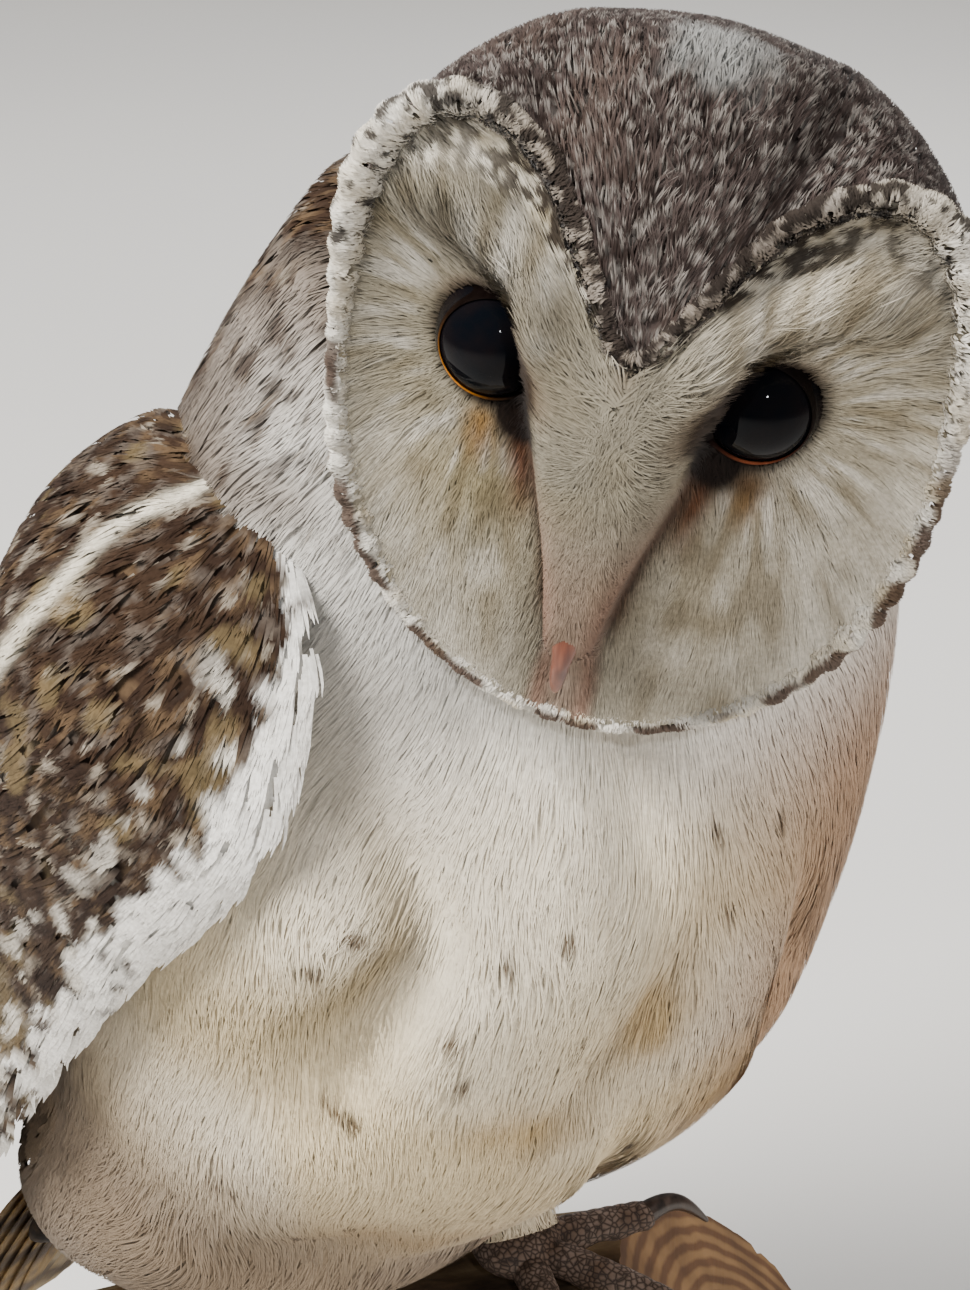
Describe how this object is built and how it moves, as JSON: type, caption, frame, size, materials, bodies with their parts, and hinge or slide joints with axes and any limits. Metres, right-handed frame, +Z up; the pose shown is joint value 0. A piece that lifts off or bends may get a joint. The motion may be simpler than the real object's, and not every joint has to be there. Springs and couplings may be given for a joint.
{
  "type": "mounted barn owl",
  "caption": "Taxidermy barn owl standing on a short bark-covered log, leaning forward with its heart-shaped face turned to its right.",
  "frame": {"origin": "on the floor, in the log's flat underside, under the middle of the two feet", "axes": "+Z up, -Y the way the breast faces, +X the owl's own left"},
  "size_m": [0.2198, 0.2282, 0.3282],
  "materials": {
    "crown_feathers": "matt, fine hair-like feathers, dark grey-brown with pale flecks",
    "disc_feathers": "matt, silky cream-white bristle feathers with brown at the eyes' inner corners",
    "breast_feathers": "matt, soft white to cream down with small brown dots",
    "wing_feathers": "matt, buff, grey-brown and white, mottled and barred",
    "eye_glass": "polished, near black",
    "bill_horn": "satin horn, flesh to ivory",
    "foot_skin": "dry scaled skin with thin bristles",
    "claw_horn": "satin dark horn",
    "log_wood": "rough bark, with bare sawn ends"
  },
  "bodies": {
    "root": {"bill_lower": "bill_horn", "bill_upper": "bill_horn", "claw_left_hind": "claw_horn", "claw_left_inner": "claw_horn", "claw_left_middle": "claw_horn", "claw_left_outer": "claw_horn", "claw_right_hind": "claw_horn", "claw_right_inner": "claw_horn", "claw_right_middle": "claw_horn", "claw_right_outer": "claw_horn", "eye_left": "eye_glass", "eye_right": "eye_glass", "facial_disc_left": "disc_feathers", "facial_disc_right": "disc_feathers", "foot_left": "foot_skin", "foot_right": "foot_skin", "head": "crown_feathers", "leg_left_shank": "breast_feathers", "leg_left_thigh": "breast_feathers", "leg_right_shank": "breast_feathers", "leg_right_thigh": "breast_feathers", "neck": "breast_feathers", "perch_log": "log_wood", "tail": "wing_feathers", "toe_left_hind": "foot_skin", "toe_left_inner": "foot_skin", "toe_left_middle": "foot_skin", "toe_left_outer": "foot_skin", "toe_right_hind": "foot_skin", "toe_right_inner": "foot_skin", "toe_right_middle": "foot_skin", "toe_right_outer": "foot_skin", "trunk": "breast_feathers", "wing_left_coverts": "wing_feathers", "wing_left_primaries": "wing_feathers", "wing_left_secondaries": "wing_feathers", "wing_right_coverts": "wing_feathers", "wing_right_primaries": "wing_feathers", "wing_right_secondaries": "wing_feathers"}
  },
  "joints": []
}
